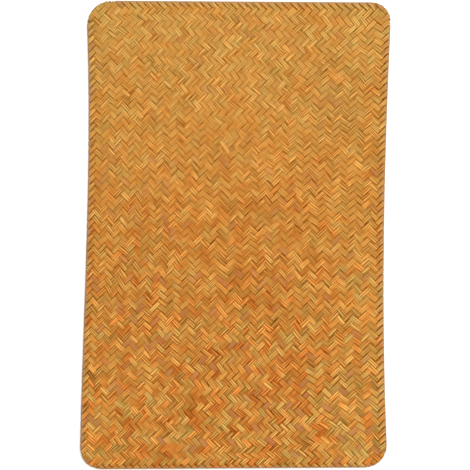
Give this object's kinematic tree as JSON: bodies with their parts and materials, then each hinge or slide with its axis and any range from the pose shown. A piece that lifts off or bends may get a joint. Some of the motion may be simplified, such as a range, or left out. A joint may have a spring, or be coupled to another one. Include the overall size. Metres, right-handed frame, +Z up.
{
  "type": "woven placemat",
  "caption": "Flat rectangular placemat with rounded corners, woven from diagonal straw-coloured strips in a twill, with the strips folded back over its own edge",
  "frame": {"origin": "under the middle of the mat, on the surface that it lies on", "axes": "+Z up through the mat's thickness, +Y along its length towards the head, +X across it to the right, seen from above"},
  "size_m": [0.2984, 0.4498, 0.003],
  "materials": {
    "woven_strip": "dry natural strip with a low satin sheen"
  },
  "bodies": {
    "root": {"mat": "woven_strip"}
  },
  "joints": []
}
